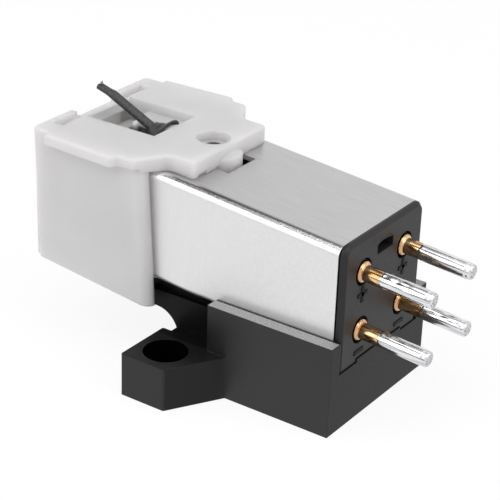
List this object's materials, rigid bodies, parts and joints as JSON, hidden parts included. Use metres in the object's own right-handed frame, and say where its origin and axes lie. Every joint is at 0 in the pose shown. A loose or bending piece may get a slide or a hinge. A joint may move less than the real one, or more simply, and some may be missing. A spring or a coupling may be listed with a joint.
{
  "type": "turntable stylus cartridge",
  "caption": "Moving-magnet phono cartridge: black base with mounting ears, sloping metal can, pale slide-on stylus holder with cantilever and stylus tip, and rear terminal pins.",
  "frame": {"origin": "on the mounting face, midway between the two mounting holes", "axes": "+X from the stylus to the terminal pins, +Y across the cartridge through the mounting holes, +Z from the mounting face to the stylus tip"},
  "size_m": [0.0245, 0.0162, 0.0141],
  "materials": {
    "black_abs": "satin",
    "brushed_can": "brushed",
    "grey_plastic": "satin",
    "pale_abs": "matt",
    "damper_rubber": "matt",
    "aluminium_hub": "satin",
    "cantilever_alloy": "dark satin",
    "diamond": "polished",
    "magnet": "ground",
    "core_iron": "laminated",
    "gold_pin": "gold plated, tinned outer end",
    "bobbin_plastic": "matt",
    "copper_wire": "enamelled"
  },
  "bodies": {
    "cartridge_body": {"body_base": "black_abs", "shield_can": "brushed_can", "terminal_plate": "grey_plastic", "generator_nose": "black_abs", "core_left": "core_iron", "core_right": "core_iron", "pin_upper_left": "gold_pin", "pin_upper_right": "gold_pin", "pin_lower_left": "gold_pin", "pin_lower_right": "gold_pin", "bobbin_upper_left": "bobbin_plastic", "coil_upper_left": "copper_wire", "bobbin_upper_right": "bobbin_plastic", "coil_upper_right": "copper_wire", "bobbin_lower_left": "bobbin_plastic", "coil_lower_left": "copper_wire", "bobbin_lower_right": "bobbin_plastic", "coil_lower_right": "copper_wire"},
    "holder_body": {"stylus_holder": "pale_abs", "suspension_sleeve": "pale_abs"},
    "damper_body": {"damper": "damper_rubber"},
    "arm_body": {"magnet_hub": "aluminium_hub", "cantilever": "cantilever_alloy", "stylus_tip": "diamond", "magnet_left": "magnet", "magnet_right": "magnet"}
  },
  "joints": [
    {"name": "holder_slide", "type": "slide", "parent": "cartridge_body", "child": "holder_body", "axis": [-0.9962, 0, 0.0872], "range_m": [0, 0.0085]},
    {"name": "cantilever_lateral", "type": "hinge", "parent": "holder_body", "child": "damper_body", "pos_m": [-0.00445, 0, 0.01149], "axis": [0.4131, 0, 0.9107], "range_deg": [-2.5, 2.5], "stiffness_Nm_per_rad": 0.0025},
    {"name": "cantilever_vertical", "type": "hinge", "parent": "damper_body", "child": "arm_body", "pos_m": [-0.00445, 0, 0.01149], "axis": [0, 1, 0], "range_deg": [-2.5, 2.5], "stiffness_Nm_per_rad": 0.0025}
  ]
}
